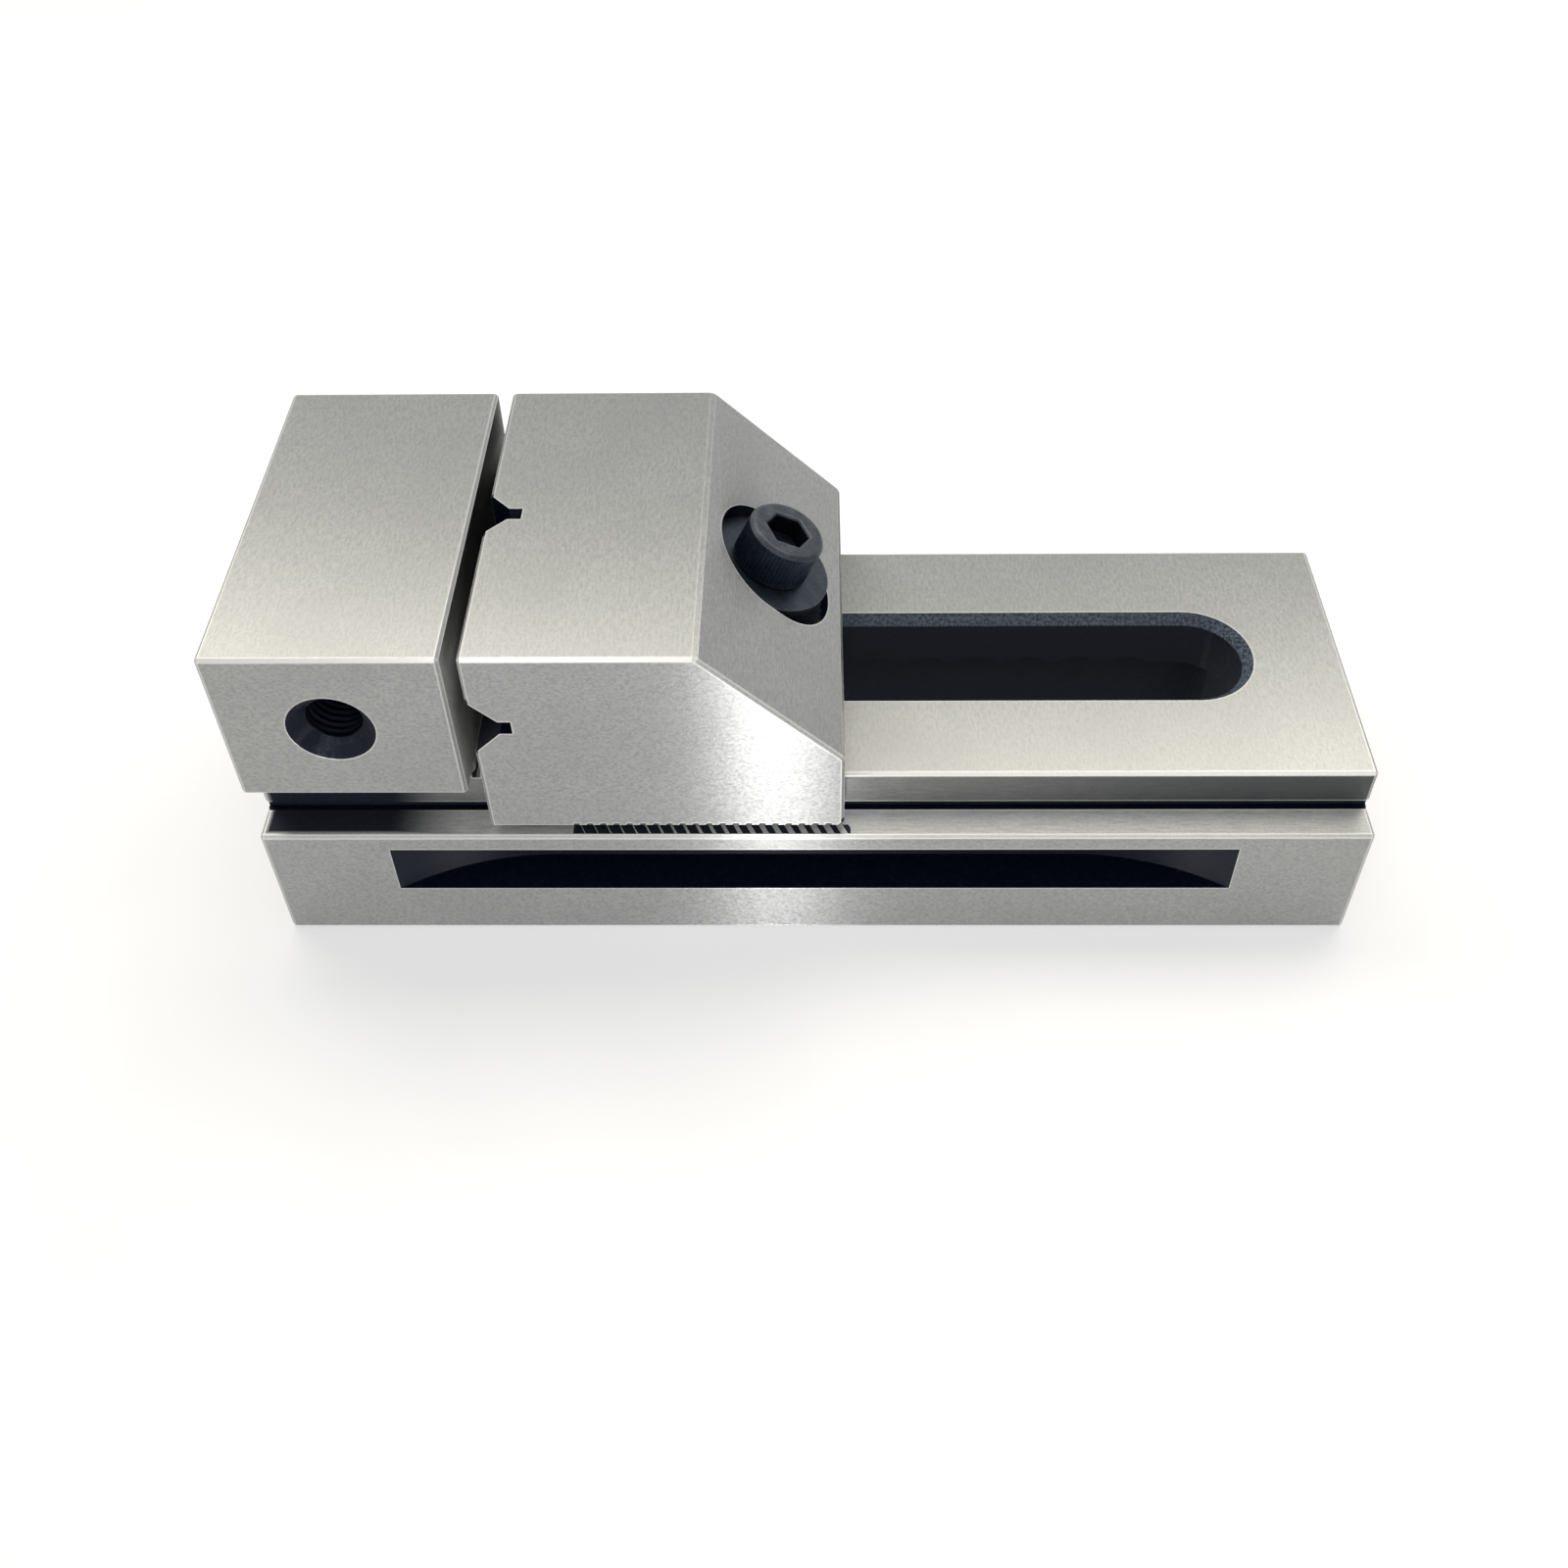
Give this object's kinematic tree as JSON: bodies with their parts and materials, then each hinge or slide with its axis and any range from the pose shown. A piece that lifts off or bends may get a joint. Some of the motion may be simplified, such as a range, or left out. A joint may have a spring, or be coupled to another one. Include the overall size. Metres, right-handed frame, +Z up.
{
  "type": "toolmakers vise",
  "caption": "Small ground-steel screwless vise: a movable jaw slides on rails and a leaning socket screw pulls it forward and down onto notches under the rails.",
  "frame": {"origin": "middle of the base's underside", "axes": "+X along the vise from the fixed jaw to the slotted end, +Y across it to the back, +Z up"},
  "size_m": [0.14, 0.0508, 0.0508],
  "materials": {
    "ground_steel": "ground",
    "black_oxide": "black oxide",
    "dark_steel": "hardened, dark satin"
  },
  "bodies": {
    "base": {"vise_body": "ground_steel"},
    "jaw": {"movable_jaw": "ground_steel", "keeper_block": "dark_steel", "keeper_screws": "black_oxide"},
    "washer": {"swivel_washer": "dark_steel"},
    "screw": {"clamp_screw": "black_oxide"},
    "bar": {"cross_bar": "dark_steel"}
  },
  "joints": [
    {"name": "jaw_slide", "type": "slide", "parent": "base", "child": "jaw", "axis": [1, 0, 0], "range_m": [-0.002, 0.063]},
    {"name": "screw_tilt", "type": "hinge", "parent": "jaw", "child": "washer", "pos_m": [-0.0053, 0, 0.04322], "axis": [0, 1, 0], "range_deg": [-12, 0]},
    {"name": "screw_spin", "type": "hinge", "parent": "washer", "child": "screw", "pos_m": [-0.0053, 0, 0.04322], "axis": [-0.4226, 0, -0.9063], "range_deg": [0, 576]},
    {"name": "bar_lift", "type": "slide", "parent": "washer", "child": "bar", "axis": [0.4226, 0, 0.9063], "range_m": [0, 0.0016]}
  ],
  "couplings": [
    {"joint": "screw_spin", "follows": "bar_lift", "rad_per_m": 6283.2}
  ]
}
